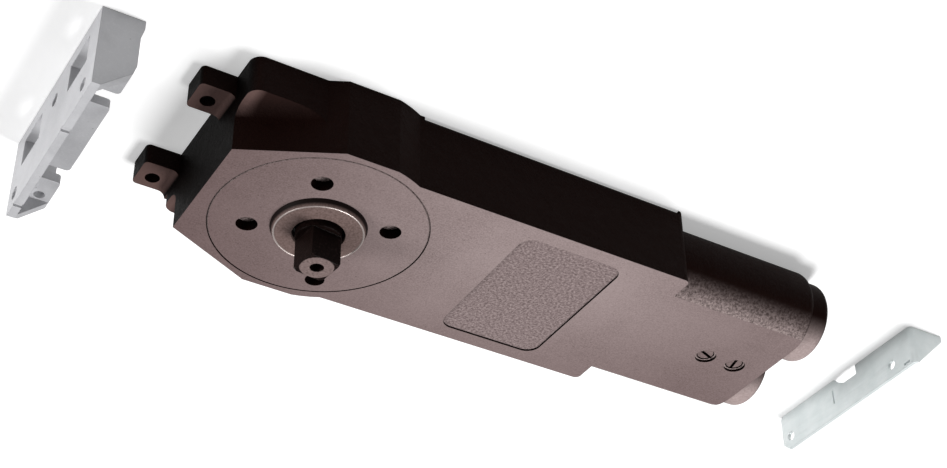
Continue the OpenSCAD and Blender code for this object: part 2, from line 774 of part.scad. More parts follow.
// Thin bent clip for the tail end
module end_clip() {
    relief_round = 2.5;
    color(zinc) translate([end_x0, end_shift, 0]) difference() {
        // plan of the sheet: a long wall, a round bend and the gusset tab
        linear_extrude(end_h) {
            translate([0, -end_len / 2]) square([sheet_t, end_len - bend_r]);
            translate([bend_r, end_len / 2 - sheet_t]) square([tab_reach - bend_r, sheet_t]);
            translate([bend_r, end_len / 2 - bend_r]) intersection() {
                difference() {
                    circle(bend_r);
                    circle(bend_r - sheet_t);
                }
                translate([-bend_r, 0]) square(bend_r);
            }
        }
        // slanted edge of the tab
        translate([0, end_len / 2 + bite, 0]) rotate([90, 0, 0]) linear_extrude(sheet_t + bend_r + bite)
            polygon([[bend_r, end_h + bite], [bend_r, end_h], [tab_reach, 2.9], [tab_reach + bite, 2.9],
                [tab_reach + bite, end_h + bite]]);
        // relief notch in the foot, with one round corner
        translate([-bite, 0, 0]) rotate([90, 0, 90]) linear_extrude(sheet_t + 2 * bite) {
            translate([relief_round - relief_w / 2, -bite]) square([relief_w - relief_round, relief_depth + bite]);
            translate([-relief_w / 2, -bite]) square([relief_w, relief_depth - relief_round + bite]);
            translate([relief_round - relief_w / 2, relief_depth - relief_round]) circle(relief_round);
        }
        // narrow slit beside the notch, screw holes and bend relief
        translate([-bite, -relief_w / 2 - 1.6, relief_depth + 2.6]) cube([sheet_t + 2 * bite, 0.8, 5]);
        for (side = [-1, 1]) translate([0, side * end_hole_pitch / 2 - 4.5, end_hole_z])
            rod_x(-bite, sheet_t + 2 * bite, end_hole_r);
        translate([-bite, end_len / 2 - bend_r - 5, end_h - 2.4]) cube([sheet_t + 2 * bite, 4, 1.2]);
        // clipped upper corner at the free end
        translate([-bite, -end_len / 2, end_h]) rotate([45, 0, 0])
            translate([0, -2.5, -2.5]) cube([sheet_t + 2 * bite, 5, 5]);
    }
}

casing();
cap();
cap_o_ring();
seal_collar();
spindle_seal();
upper_bearing();
lower_bearing();
spindle();
cam();
cam_key();
yoke();
roller_pin();
cam_roller();
piston_a();
piston_b();
piston_seals();
check_balls();
spring_a();
spring_b();
end_plug_a();
end_plug_b();
plug_o_rings();
sweep_valve();
latch_valve();
sweep_valve_ring();
latch_valve_ring();
fill_plug();
fill_washer();
main_clip();
end_clip();
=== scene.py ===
# %% [markdown]
# # A concealed door closer, laid out with its two clips
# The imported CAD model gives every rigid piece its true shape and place. This
# lesson dresses it: cast iron, ground iron, steel, rubber and zinc, then a
# studio with a white floor, and a camera that stands where the photographer
# stood. Everything is in metres, and the spindle's axis is the Z axis.

# %% Load the fixed frame
import math

import bpy
from mathutils import Matrix, Vector


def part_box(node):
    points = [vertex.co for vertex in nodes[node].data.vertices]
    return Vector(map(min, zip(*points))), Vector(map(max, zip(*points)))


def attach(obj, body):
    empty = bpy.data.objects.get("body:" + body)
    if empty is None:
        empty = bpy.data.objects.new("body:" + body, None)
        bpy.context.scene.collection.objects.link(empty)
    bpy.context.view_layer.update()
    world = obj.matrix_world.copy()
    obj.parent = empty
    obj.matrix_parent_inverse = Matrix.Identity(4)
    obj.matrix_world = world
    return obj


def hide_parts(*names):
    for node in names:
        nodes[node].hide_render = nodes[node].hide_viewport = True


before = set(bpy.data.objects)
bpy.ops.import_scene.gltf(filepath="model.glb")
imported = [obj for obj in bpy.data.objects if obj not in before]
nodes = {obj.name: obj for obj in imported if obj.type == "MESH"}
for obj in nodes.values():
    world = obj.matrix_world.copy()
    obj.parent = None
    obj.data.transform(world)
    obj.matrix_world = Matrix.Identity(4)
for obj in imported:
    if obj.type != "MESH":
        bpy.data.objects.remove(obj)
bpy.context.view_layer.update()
scene = bpy.context.scene
bpy.ops.object.select_all(action="DESELECT")
print("pieces in the frame:", len(nodes))

# %% [markdown]
# ## Smooth shading first
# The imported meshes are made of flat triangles. A bore or a tube looks faceted
# unless its faces share their normals, while a machined edge has to stay
# sharp. Shading smooth by angle does both: an edge that turns by more than 30
# degrees stays crisp, and a gentler one is blended. The spring wire has few
# sides, so its edges are blended up to 75 degrees.

# %% Shade each piece smooth, up to an angle
def alone(piece):
    bpy.ops.object.select_all(action="DESELECT")
    piece.select_set(True)
    bpy.context.view_layer.objects.active = piece


def smooth(piece, angle=30):
    alone(piece)
    bpy.ops.object.shade_smooth_by_angle(angle=math.radians(angle))


for name, piece in nodes.items():
    smooth(piece, 75 if name in ("spring_a", "spring_b") else 30)
bpy.ops.object.select_all(action="DESELECT")
print("smoothed", len(nodes), "pieces")

# %% [markdown]
# ## Small helpers for node materials
# A material is a graph of nodes. It could be built by hand in the shader
# editor, one socket at a time. These few helpers do the same in one line
# each: start a material, add a node, join two sockets. Every pattern reads
# Object coordinates, which are true metres here, so a scale of 900 means
# about 900 cells in one metre, or one cell in about 1.1 mm.

# %% Helpers for node materials
def new_material(name):
    material = bpy.data.materials.new(name)
    material.use_nodes = True
    tree = material.node_tree
    shader = tree.nodes["Principled BSDF"]
    return material, tree, shader


def add_node(tree, kind, **settings):
    node = tree.nodes.new(kind)
    for key, value in settings.items():
        if key in node.inputs:
            node.inputs[key].default_value = value
        else:
            setattr(node, key, value)
    return node


def join(tree, source, target):
    tree.links.new(source, target)


def place(tree):
    return add_node(tree, "ShaderNodeTexCoord").outputs["Object"]


def noise(tree, vector, scale, detail=4.0, roughness=0.6):
    node = add_node(tree, "ShaderNodeTexNoise", Scale=scale, Detail=detail, Roughness=roughness)
    join(tree, vector, node.inputs["Vector"])
    return node.outputs["Fac"]


def cells(tree, vector, scale):
    node = add_node(tree, "ShaderNodeTexVoronoi", Scale=scale)
    join(tree, vector, node.inputs["Vector"])
    return node.outputs["Distance"]


def ramp(tree, source, stops):
    node = add_node(tree, "ShaderNodeValToRGB")
    elements = node.color_ramp.elements
    while len(elements) < len(stops):
        elements.new(0.5)
    for element, (at, color) in zip(elements, stops):
        element.position = at
        element.color = (*color, 1) if len(color) == 3 else color
    join(tree, source, node.inputs["Fac"])
    return node.outputs["Color"]


def between(tree, source, low, high, to_low=0.0, to_high=1.0):
    node = add_node(tree, "ShaderNodeMapRange")
    join(tree, source, node.inputs["Value"])
    node.inputs["From Min"].default_value = low
    node.inputs["From Max"].default_value = high
    node.inputs["To Min"].default_value = to_low
    node.inputs["To Max"].default_value = to_high
    return node.outputs["Result"]


def math_node(tree, operation, a, b):
    node = add_node(tree, "ShaderNodeMath", operation=operation)
    for socket, value in zip(node.inputs, (a, b)):
        if isinstance(value, (int, float)):
            socket.default_value = value
        else:
            join(tree, value, socket)
    return node.outputs["Value"]


def mix_color(tree, factor, a, b, blend="MIX"):
    node = add_node(tree, "ShaderNodeMix", data_type="RGBA", blend_type=blend)
    color_a, color_b = node.inputs[6], node.inputs[7]
    for socket, value in ((node.inputs[0], factor), (color_a, a), (color_b, b)):
        if isinstance(value, tuple):
            socket.default_value = (*value, 1)
        elif isinstance(value, (int, float)):
            socket.default_value = value
        else:
            join(tree, value, socket)
    return node.outputs[2]


def bump(tree, height, distance, strength=1.0, normal=None):
    node = add_node(tree, "ShaderNodeBump", Strength=strength, Distance=distance)
    join(tree, height, node.inputs["Height"])
    if normal is not None:
        join(tree, normal, node.inputs["Normal"])
    return node.outputs["Normal"]


def rounded_edges(tree, radius):
    return add_node(tree, "ShaderNodeBevel", samples=6, Radius=radius).outputs["Normal"]


def part_of(tree, vector, axis="Z"):
    node = add_node(tree, "ShaderNodeSeparateXYZ")
    join(tree, vector, node.inputs["Vector"])
    return node.outputs[axis]


def facing_up(tree):
    return part_of(tree, add_node(tree, "ShaderNodeTexCoord").outputs["Normal"])


def both(tree, a, b):
    return math_node(tree, "MULTIPLY", a, b)


def from_axis(tree, at):
    # distance from the spindle's axis, which is the Z axis
    flat = add_node(tree, "ShaderNodeVectorMath", operation="MULTIPLY")
    join(tree, at, flat.inputs[0])
    flat.inputs[1].default_value = (1, 1, 0)
    length = add_node(tree, "ShaderNodeVectorMath", operation="LENGTH")
    join(tree, flat.outputs["Vector"], length.inputs[0])
    return length.outputs["Value"]


def give(material, *names):
    for name in names:
        nodes[name].data.materials.clear()
        nodes[name].data.materials.append(material)
    print(material.name, "goes on", ", ".join(names))


# %% [markdown]
# ## Cast iron, painted dark, with a ground face
# The casing is one sand casting. Its upright walls keep the skin of the mould,
# painted almost black, and the walls facing the left end get painted shade on
# top of that. Its face is ground flat, so it is paler, a brownish grey, with a
# fine grain and a few pores, and a painted sheen and shade make it lighter and
# darker across its width. Where the skin looks up, painted light lifts it: the
# shoulders of the tubes get a sandy painted glint, and the lugs and the ledge a
# brown painted top light. Separate materials on separate faces could do this,
# but the painted light fades into the paint. One material with masks does
# better: the masks read the height and the way the surface faces.

# %% Tones of the iron, and its masks
FACE_Z = max(corner[2] for corner in nodes["casing"].bound_box)
GROUND_TONE = (0.272, 0.212, 0.208)
GROUND_PALE = (0.345, 0.275, 0.27)
GROUND_DARK = (0.19, 0.145, 0.14)
SKIN_TONE = (0.0088, 0.0029, 0.0021)
SKIN_PALE = (0.022, 0.0115, 0.010)
TOP_LIGHT_TONE = (0.125, 0.077, 0.070)
GLINT_TONE = (0.41, 0.325, 0.315)


def ground_mask(tree, height, up, ground_from):
    high = between(tree, height, ground_from, ground_from + 0.00005)
    return both(tree, high, between(tree, up, 0.9, 0.97))


def painted_face_shading(tree, at):
    # painted sheen and shade: the face is painted darker and browner at the cap's left, at the tail and along one side
    along = part_of(tree, at, "X")
    left = between(tree, along, -0.05, 0.06, 0.15, 1.0)
    tail = between(tree, along, 0.12, 0.19, 1.0, 0.55)
    side = between(tree, part_of(tree, at, "Y"), -0.045, 0.012, 0.5, 1.0)
    return both(tree, both(tree, left, tail), side)


def ground_color(tree, at, grain):
    clouds = noise(tree, at, 28, 3, 0.55)
    pores = cells(tree, at, 330)
    sandy = ramp(tree, grain, [(0.34, GROUND_DARK), (0.52, GROUND_TONE), (0.72, GROUND_PALE)])
    cloudy = mix_color(tree, between(tree, clouds, 0.35, 0.7, 0.0, 0.4), sandy, GROUND_PALE)
    pitted = mix_color(tree, between(tree, pores, 0.05, 0.11, 0.5, 0.0), cloudy, (0.05, 0.035, 0.03))
    # painted sheen and shade across the face, multiplied into its colour
    face_shading_tint = mix_color(tree, painted_face_shading(tree, at), (0.45, 0.385, 0.385), (1.0, 1.0, 1.0))
    return mix_color(tree, 1.0, pitted, face_shading_tint, "MULTIPLY")


# %% [markdown]
# ## Skin, painted top light and painted glint in one graph
# Four layers are mixed from the bottom up: black paint, with painted shade on the
# walls facing the left end, a brown painted top light where it looks up, a sandy
# painted glint on the shoulders, and the ground plane on top. The floor
# of the shallow recess is left as cast, so it gets the sand at full contrast.
# A low specular level keeps the painted walls as dark as they are, since a
# glossier paint would mirror the white floor.

# %% The iron's material
def iron_material(name, ground_from, sandy=0.75, recess=None):
    material, tree, shader = new_material(name)
    at = place(tree)
    height = part_of(tree, at)
    up = facing_up(tree)
    grain = noise(tree, at, 1500, 5, 0.75)
    sand = noise(tree, at, 950, 6, 0.7)
    ground = ground_mask(tree, height, up, ground_from)
    skin = ramp(tree, sand, [(0.45, SKIN_TONE), (0.62, SKIN_TONE), (0.8, SKIN_PALE)])
    # painted shade: walls that face the left end are darkened far below the paint
    from_side = part_of(tree, add_node(tree, "ShaderNodeTexCoord").outputs["Normal"], "X")
    skin = mix_color(tree, between(tree, from_side, -0.95, -0.45), (0.0012, 0.0005, 0.0004), skin)
    # painted top light: up-facing skin is lifted to a brown tone, fully on the lugs beyond the left end and faintly
    # elsewhere
    top_light_mask = both(tree, between(tree, up, 0.35, 0.95), between(tree, part_of(tree, at, "X"), -0.047, -0.043, 1.0, 0.1))
    top_lit_skin = mix_color(tree, top_light_mask, skin, TOP_LIGHT_TONE)
    # painted glint: up-tilted shoulders between 22 and 34 mm high get a sandy light tone
    shoulder_glint_mask = both(tree, between(tree, up, 0.42, 0.86), between(tree, height, 0.022, 0.034))
    painted_glint = both(tree, shoulder_glint_mask, between(tree, sand, 0.38, 0.62, 1.0 - sandy, 1.0))
    surface_tone = mix_color(tree, painted_glint, top_lit_skin, GLINT_TONE)
    color = mix_color(tree, ground, surface_tone, ground_color(tree, at, grain))
    if recess:
        low, high = recess
        floor_of_recess = both(tree, between(tree, height, low, low + 0.00005),
                               between(tree, height, high, high + 0.00005, 1.0, 0.0))
        cast = ramp(tree, sand, [(0.38, (0.13, 0.097, 0.095)), (0.5, (0.225, 0.172, 0.17)),
                                 (0.64, (0.35, 0.28, 0.275))])
        color = mix_color(tree, both(tree, floor_of_recess, between(tree, up, 0.9, 0.97)), color, cast)
    join(tree, color, shader.inputs["Base Color"])
    join(tree, between(tree, ground, 0.0, 1.0, 0.5, 0.62), shader.inputs["Roughness"])
    shader.inputs["Specular IOR Level"].default_value = 0.02
    # relief: a sandy skin, and a much finer grain on the ground plane
    lumps = math_node(tree, "ADD", sand, math_node(tree, "MULTIPLY", noise(tree, at, 170, 3, 0.5), 1.2))
    soft = rounded_edges(tree, 0.0004)
    choose = add_node(tree, "ShaderNodeMix", data_type="VECTOR")
    join(tree, ground, choose.inputs[0])
    join(tree, bump(tree, lumps, 0.0006, sandy, soft), choose.inputs[4])
    join(tree, bump(tree, grain, 0.00012, 0.5, soft), choose.inputs[5])
    join(tree, choose.outputs[1], shader.inputs["Normal"])
    return material


print("the ground face lies at", round(FACE_Z, 5), "m")
give(iron_material("casting", FACE_Z - 0.0003, recess=(FACE_Z - 0.00098, FACE_Z - 0.0005)), "casing")
give(iron_material("ground_cap", FACE_Z - 0.0003), "cap")

# %% [markdown]
# ## The plugs and the collar
# The end plugs have the casing's dark paint on a turned surface, with the
# painted glint and painted top light where they look up, so the same material
# serves with its ground plane set above them and little of its sand. The collar
# round the spindle is pressed steel, browned like the face, with its leaning wall
# dark almost to the top, and a thin rim bead that is smoother and part metallic,
# with a painted highlight in its colour. The rim is found by its distance from
# the axis.

# %% Plugs and collar
# the plugs get the painted glint and painted top light where they look up
give(iron_material("plug_paint", 1.0, sandy=0.25), "end_plug_a", "end_plug_b")


def collar_material():
    material, tree, shader = new_material("collar_steel")
    at = place(tree)
    height = part_of(tree, at)
    grain = noise(tree, at, 1200, 4, 0.65)
    brown = ramp(tree, grain, [(0.35, (0.105, 0.070, 0.063)), (0.65, (0.18, 0.125, 0.115))])
    away = from_axis(tree, at)
    # painted highlight: the rim bead's colour is brightened, besides its metal and lower roughness
    rim = both(tree, between(tree, away, 0.0171, 0.0173), between(tree, away, 0.0178, 0.018, 1.0, 0.0))
    side = between(tree, height, FACE_Z + 0.0015, FACE_Z + 0.0026)
    dark = mix_color(tree, side, (0.008, 0.0045, 0.004), brown)
    join(tree, mix_color(tree, rim, dark, (0.50, 0.43, 0.41)), shader.inputs["Base Color"])
    join(tree, between(tree, rim, 0.0, 1.0, 0.5, 0.34), shader.inputs["Roughness"])
    join(tree, between(tree, rim, 0.0, 1.0, 0.0, 0.6), shader.inputs["Metallic"])
    shader.inputs["Specular IOR Level"].default_value = 0.08
    join(tree, bump(tree, grain, 0.0001, 0.4, rounded_edges(tree, 0.0003)), shader.inputs["Normal"])
    return material


give(collar_material(), "seal_collar")

# %% [markdown]
# ## The spindle
# The spindle is hardened steel with a black oxide skin. Only its end, faced
# off last, is bare and pale, and turning marks ring its round neck. A mask on
# the height picks out the end, and rings come from a wave pattern along Z.

# %% Spindle steel
def spindle_material():
    material, tree, shader = new_material("black_oxide")
    at = place(tree)
    height = part_of(tree, at)
    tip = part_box("spindle")[1].z
    wear = noise(tree, at, 900, 5, 0.7)
    end = between(tree, math_node(tree, "ADD", height, math_node(tree, "MULTIPLY", wear, 0.0008)),
                  tip + 0.0001, tip + 0.0003)
    oxide = ramp(tree, wear, [(0.42, (0.005, 0.0025, 0.002)), (0.6, (0.010, 0.005, 0.0045)),
                              (0.8, (0.05, 0.035, 0.032))])
    bare = ramp(tree, wear, [(0.35, (0.12, 0.085, 0.08)), (0.65, (0.23, 0.17, 0.163))])
    # the facing cut only reached a round patch, so the corners stay black
    ragged = math_node(tree, "ADD", from_axis(tree, at), both(tree, wear, 0.0016))
    end = both(tree, end, between(tree, ragged, 0.0073, 0.0076, 1.0, 0.0))
    join(tree, mix_color(tree, end, oxide, bare), shader.inputs["Base Color"])
    join(tree, between(tree, end, 0.0, 1.0, 0.32, 0.5), shader.inputs["Roughness"])
    shader.inputs["Specular IOR Level"].default_value = 0.06
    rings = add_node(tree, "ShaderNodeTexWave", wave_type="BANDS", bands_direction="Z", Scale=620, Distortion=1.5)
    join(tree, at, rings.inputs["Vector"])
    turned = bump(tree, rings.outputs["Fac"], 0.00006, 0.35, rounded_edges(tree, 0.0005))
    join(tree, bump(tree, wear, 0.00015, 0.4, turned), shader.inputs["Normal"])
    return material


give(spindle_material(), "spindle")

# %% [markdown]
# ## Ground steel inside
# The cam, the yoke, the pistons and the bearings are never seen from outside,
# but the part may be opened up, so they are dressed too. Ground steel shows
# short fine scratches. Stretching a noise along one axis with a Mapping node
# gives them, at no cost.

# %% Ground steel, wire and balls
def steel_material(name, tone, roughness, stretch=(1, 1, 0.06), scale=2600, metallic=0.95):
    material, tree, shader = new_material(name)
    at = place(tree)
    turn = add_node(tree, "ShaderNodeMapping")
    turn.inputs["Scale"].default_value = stretch
    join(tree, at, turn.inputs["Vector"])
    scratches = noise(tree, turn.outputs["Vector"], scale, 3, 0.6)
    stains = noise(tree, at, 60, 4, 0.6)
    darker = tuple(0.72 * c for c in tone)
    lighter = tuple(min(1.0, 1.15 * c) for c in tone)
    base = ramp(tree, scratches, [(0.3, darker), (0.55, tone), (0.8, lighter)])
    oily = mix_color(tree, between(tree, stains, 0.5, 0.75, 0.0, 0.5), base, (0.16, 0.13, 0.10))
    join(tree, oily, shader.inputs["Base Color"])
    join(tree, between(tree, scratches, 0.2, 0.8, roughness - 0.07, roughness + 0.1), shader.inputs["Roughness"])
    shader.inputs["Metallic"].default_value = metallic
    join(tree, bump(tree, scratches, 0.00004, 0.4, rounded_edges(tree, 0.0003)), shader.inputs["Normal"])
    return material


give(steel_material("ground_steel", (0.50, 0.50, 0.51), 0.34), "cam", "cam_key", "yoke", "piston_a", "piston_b")
give(steel_material("race_steel", (0.60, 0.60, 0.61), 0.22), "upper_bearing", "lower_bearing", "cam_roller",
     "roller_pin", "check_balls")
give(steel_material("spring_wire", (0.22, 0.21, 0.21), 0.38, (1, 1, 1), 1400), "spring_a", "spring_b")

# %% [markdown]
# ## Valves and the filling plug
# The two regulating screws have been oiled and dusted with the casing, so
# their heads are almost its colour. They could be left bright, which would
# draw the eye more than the real ones do.

# %% Screws


def head_material():
    # the head's flat is worn to the face's tone; its slot and sides are painted dark as painted shade
    material, tree, shader = new_material("dull_screw")
    at = place(tree)
    grain = noise(tree, at, 1800, 3, 0.6)
    flat = both(tree, between(tree, facing_up(tree), 0.9, 0.97),
                between(tree, part_of(tree, at), FACE_Z - 0.0018, FACE_Z - 0.0016))
    surface_tone = ramp(tree, grain, [(0.35, (0.15, 0.108, 0.105)), (0.65, (0.23, 0.173, 0.167))])
    join(tree, mix_color(tree, flat, (0.007, 0.004, 0.0035), surface_tone), shader.inputs["Base Color"])
    shader.inputs["Roughness"].default_value = 0.55
    shader.inputs["Specular IOR Level"].default_value = 0.05
    join(tree, bump(tree, grain, 0.0001, 0.4), shader.inputs["Normal"])
    return material


give(head_material(), "sweep_valve", "latch_valve")
give(steel_material("plated_screw", (0.42, 0.41, 0.40), 0.35, (1, 1, 1), 1800), "fill_plug")
give(steel_material("soft_copper", (0.62, 0.30, 0.17), 0.4, (1, 1, 1), 900), "fill_washer")

# %% [markdown]
# ## Rubber
# Seals and rings are moulded nitrile rubber: almost black, dull, with a
# slightly pale bloom. The bloom is a wide noise on the colour.

# %% Rubber
def rubber_material():
    material, tree, shader = new_material("nitrile_rubber")
    at = place(tree)
    bloom = noise(tree, at, 240, 4, 0.6)
    tone = ramp(tree, bloom, [(0.4, (0.012, 0.012, 0.012)), (0.7, (0.04, 0.04, 0.038))])
    join(tree, tone, shader.inputs["Base Color"])
    join(tree, between(tree, bloom, 0.3, 0.7, 0.5, 0.75), shader.inputs["Roughness"])
    join(tree, bump(tree, noise(tree, at, 2200, 3), 0.00005, 0.3), shader.inputs["Normal"])
    return material


give(rubber_material(), "cap_o_ring", "spindle_seal", "piston_seals", "plug_o_rings", "sweep_valve_ring",
     "latch_valve_ring")

# %% [markdown]
# ## The clips
# The main clip is a zinc die casting: light grey, satin, with small dark pits
# and soft clouds where the mould was dressed. The end clip is zinc-plated
# sheet, a little greener and glossier, with the faint lines of rolled steel.
# Both are dielectric-looking in the photo, because oxide dulls the metal, so
# the metallic value is only part way up.

# %% Zinc casting and zinc-plated sheet
def zinc_casting():
    material, tree, shader = new_material("zinc_casting")
    at = place(tree)
    clouds = noise(tree, at, 45, 4, 0.6)
    grain = noise(tree, at, 1300, 4, 0.6)
    pits = cells(tree, at, 260)
    base = ramp(tree, clouds, [(0.35, (0.47, 0.47, 0.488)), (0.65, (0.58, 0.58, 0.60))])
    speckled = mix_color(tree, between(tree, grain, 0.5, 0.8, 0.0, 0.35), base, (0.70, 0.70, 0.71))
    dark_pits = between(tree, pits, 0.03, 0.08, 0.75, 0.0)
    join(tree, mix_color(tree, dark_pits, speckled, (0.12, 0.12, 0.12)), shader.inputs["Base Color"])
    join(tree, between(tree, clouds, 0.3, 0.7, 0.42, 0.55), shader.inputs["Roughness"])
    shader.inputs["Metallic"].default_value = 0.25
    relief = bump(tree, grain, 0.00012, 0.35, rounded_edges(tree, 0.0006))
    join(tree, bump(tree, clouds, 0.0008, 0.25, relief), shader.inputs["Normal"])
    return material


def zinc_sheet():
    material, tree, shader = new_material("zinc_sheet")
    at = place(tree)
    turn = add_node(tree, "ShaderNodeMapping")
    turn.inputs["Scale"].default_value = (1, 0.05, 1)
    join(tree, at, turn.inputs["Vector"])
    rolled = noise(tree, turn.outputs["Vector"], 1500, 3, 0.6)
    flowers = noise(tree, at, 130, 3, 0.5)
    base = ramp(tree, flowers, [(0.35, (0.75, 0.81, 0.81)), (0.65, (0.83, 0.88, 0.88))])
    streaked = mix_color(tree, between(tree, rolled, 0.5, 0.8, 0.0, 0.3), base, (0.70, 0.75, 0.75))
    join(tree, streaked, shader.inputs["Base Color"])
    join(tree, between(tree, rolled, 0.3, 0.7, 0.3, 0.42), shader.inputs["Roughness"])
    shader.inputs["Metallic"].default_value = 0.3
    join(tree, bump(tree, rolled, 0.00004, 0.3, rounded_edges(tree, 0.0004)), shader.inputs["Normal"])
    return material


give(zinc_casting(), "main_clip")
give(zinc_sheet(), "end_clip")

# %% [markdown]
# ## Tools for modelling small pieces
# Six small pieces show forms that the plain solids lack: the stepped collar,
# the cap with its odd fourth hole, the two sunk screws, and the two clips with
# their soft edges. They are modelled here and stand for the CAD nodes. Each
# helper is one move of hand modelling: a turned shape grows ring by ring from
# a circle, a block is a cube of a given size, a slice is a bisect that throws
# one side away, and a cut is a boolean whose cutter is then deleted.

# %% Modelling helpers
MM = 0.001


def settled(name=None):
    bpy.ops.object.transform_apply(location=True, rotation=True, scale=True)
    piece = bpy.context.active_object
    if name:
        piece.name = name
    return piece


def turned(name, profile, x=0.0, solid=False, sides=96):
    """Profile points are radius and height in millimetres; x is in metres."""
    bpy.ops.object.select_all(action="DESELECT")
    radius, height = profile[0]
    bpy.ops.mesh.primitive_circle_add(vertices=sides, radius=radius * MM, location=(x, 0, height * MM),
                                      fill_type="NGON" if solid else "NOTHING")
    piece = settled(name)
    bpy.ops.object.mode_set(mode="EDIT")
    bpy.ops.mesh.select_all(action="SELECT")
    for new_radius, new_height in profile[1:]:
        bpy.ops.mesh.extrude_region_move(TRANSFORM_OT_translate={"value": (0, 0, (new_height - height) * MM)})
        size = new_radius / radius
        bpy.ops.transform.resize(value=(size, size, 1), center_override=(x, 0, 0))
        radius, height = new_radius, new_height
    clean_up()
    return piece


def clean_up():
    bpy.ops.mesh.select_all(action="SELECT")
    bpy.ops.mesh.remove_doubles(threshold=0.000002)
    bpy.ops.mesh.normals_make_consistent(inside=False)
    bpy.ops.object.mode_set(mode="OBJECT")


def block(low, high, turn=0.0):
    bpy.ops.object.select_all(action="DESELECT")
    middle = [(a + b) / 2 for a, b in zip(low, high)]
    size = [b - a for a, b in zip(low, high)]
    bpy.ops.mesh.primitive_cube_add(size=1, location=middle, rotation=(0, 0, math.radians(turn)), scale=size)
    return settled()


def rod(middle, radius, length, rotation=(0, 0, 0), sides=48):
    bpy.ops.object.select_all(action="DESELECT")
    bpy.ops.mesh.primitive_cylinder_add(vertices=sides, radius=radius, depth=length, location=middle, rotation=rotation)
    return settled()


def slice_off(piece, point, outwards):
    alone(piece)
    bpy.ops.object.mode_set(mode="EDIT")
    bpy.ops.mesh.select_all(action="SELECT")
    bpy.ops.mesh.bisect(plane_co=point, plane_no=Vector(outwards).normalized(), use_fill=True, clear_outer=True,
                        threshold=0.000001)
    clean_up()


def combine(piece, other, operation="DIFFERENCE"):
    alone(piece)
    modifier = piece.modifiers.new("combine", "BOOLEAN")
    modifier.operation = operation
    modifier.solver = "EXACT"
    modifier.object = other
    bpy.ops.object.modifier_apply(modifier="combine")
    bpy.data.objects.remove(other)


def round_edges_at(piece, test, radius, segments=4):
    """Bevels the edges for which test(end, end) holds."""
    alone(piece)
    bpy.ops.object.mode_set(mode="EDIT")
    bpy.ops.mesh.select_mode(type="EDGE")
    bpy.ops.mesh.select_all(action="DESELECT")
    bpy.ops.object.mode_set(mode="OBJECT")
    points = piece.data.vertices
    for edge in piece.data.edges:
        edge.select = test(*(points[i].co for i in edge.vertices))
    chosen = sum(edge.select for edge in piece.data.edges)
    bpy.ops.object.mode_set(mode="EDIT")
    bpy.ops.mesh.bevel(offset=radius, segments=segments)
    bpy.ops.object.mode_set(mode="OBJECT")
    return chosen


def soften(piece, width, segments=2):
    alone(piece)
    modifier = piece.modifiers.new("soft_edges", "BEVEL")
    modifier.width = width
    modifier.segments = segments
    modifier.limit_method = "ANGLE"
    modifier.angle_limit = math.radians(40)
    bpy.ops.object.modifier_apply(modifier="soft_edges")


def stand_for(piece, node, body):
    """Finishes a piece, dresses it like its CAD node and lets it stand for it."""
    smooth(piece)
    piece.data.materials.clear()
    piece.data.materials.append(nodes[node].data.materials[0])
    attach(piece, body)
    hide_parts(node)
    print(piece.name, "stands for", node, "with", len(piece.data.polygons), "faces")


# %% [markdown]
# ## The collar
# A pressed ring guards the spindle's seal. Its wall leans in, its thin rim is
# a bead, and inside the bead the ring climbs a little towards the spindle. It
# is a turned shape, so one profile, carried round, says it all.

# %% Turn the collar
collar = turned("collar", [(10.4, 34.95), (18.78, 34.95), (18.78, 35.52), (19.1, 35.52), (18.0, 38.3),
                           (17.85, 38.58), (17.6, 38.7), (17.35, 38.62), (17.2, 38.4), (10.8, 39.1), (10.5, 39.0),
                           (10.4, 38.8), (10.4, 34.95)])
stand_for(collar, "seal_collar", "casing")

# %% [markdown]
# ## The cap
# The cap screws into the casing over the cam. Three blind holes take a pin
# spanner, and a fourth sits nearer the rim. They are cut after the turning,
# as on a drill press, and the rim keeps a small chamfer so that the seam
# between cap and casing reads as a dark line.

# %% Turn and drill the cap
cap = turned("cap_face", [(13.05, 27.0), (16.0, 27.0), (16.0, 28.55), (42.9, 28.55), (43.4, 29.0), (43.4, 29.9),
                          (41.1, 29.9), (41.1, 32.3), (43.4, 32.3), (43.4, 34.85), (42.85, 35.5), (18.85, 35.5),
                          (18.85, 34.9), (13.05, 34.9), (13.05, 27.0)], sides=160)
for angle, distance, radius in ((24, 27.9, 4.3), (114, 27.9, 4.3), (204, 27.9, 4.3), (294, 35.0, 4.0)):
    turn = math.radians(angle)
    spot = (distance * MM * math.cos(turn), distance * MM * math.sin(turn), 36.0 * MM)
    combine(cap, rod(spot, radius * MM, 10 * MM))
stand_for(cap, "cap", "casing")

# %% [markdown]
# ## The two regulating screws
# Each screw has a slotted head that sits 1.4 mm below the face, a groove for
# its rubber ring, and a needle that closes the oil port. Both have the same
# profile, so one loop turns each at its own place and cuts its slot at its own
# angle.

# %% Turn the screws and cut their slots
SCREW = [(0.8, 11.0), (2.0, 14.0), (2.0, 17.4), (3.4, 17.4), (3.8, 17.8), (3.8, 27.5), (2.2, 27.5), (2.2, 29.7),
         (3.8, 29.7), (3.8, 33.6), (3.4, 34.1)]
for name, turn in (("sweep_valve", -21), ("latch_valve", -78)):
    low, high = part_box(name)
    x = (low.x + high.x) / 2
    screw = turned(name + "_screw", SCREW, x=x, solid=True, sides=48)
    combine(screw, block((x - 0.006, -0.0007, 0.0324), (x + 0.006, 0.0007, 0.036), turn))
    stand_for(screw, name, name)

# %% [markdown]
# ## The main clip
# The main clip is a casting: a back wall that thins towards its top, an end
# plate at each end, a shelf between them and two windows for the lugs. It is
# built up from blocks, as a pattern maker would, and only then cut and
# softened, because a casting has no sharp edge. The round corners beside the
# two notches are larger, so they are bevelled by themselves first.

# %% Build the main clip from blocks
clip_low, clip_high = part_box("main_clip")
clip_x, clip_y = clip_low.x, (clip_low.y + clip_high.y) / 2


